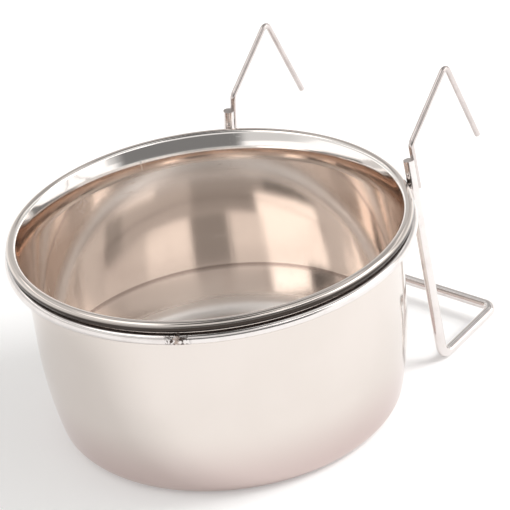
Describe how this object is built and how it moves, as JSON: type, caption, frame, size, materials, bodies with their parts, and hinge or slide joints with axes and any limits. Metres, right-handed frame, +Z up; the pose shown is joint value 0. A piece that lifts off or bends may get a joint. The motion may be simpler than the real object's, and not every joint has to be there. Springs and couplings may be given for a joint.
{
  "type": "seed cup",
  "caption": "Round deep-drawn steel seed cup with a rolled rim that drops into a wire ring, with a bent brace and V hooks that hang on a cage wall.",
  "frame": {"origin": "centre of the cup's flat base, on the plane that the cup and the brace's feet stand on", "axes": "+Z up along the cup's axis, +Y from the cup towards the cage wall, +X to the right when looking along +Y"},
  "size_m": [0.1216, 0.1468, 0.0891],
  "materials": {
    "cup_steel": "polished drawn stainless sheet, lightly scuffed",
    "wire_steel": "bright plated round wire"
  },
  "bodies": {
    "holder": {"ring": "wire_steel", "brace": "wire_steel", "hook_left": "wire_steel", "hook_right": "wire_steel"},
    "cup": {"cup": "cup_steel"}
  },
  "joints": [
    {"name": "cup_lift", "type": "slide", "parent": "holder", "child": "cup", "axis": [0, 0, 1], "range_m": [0, 0.075]}
  ]
}
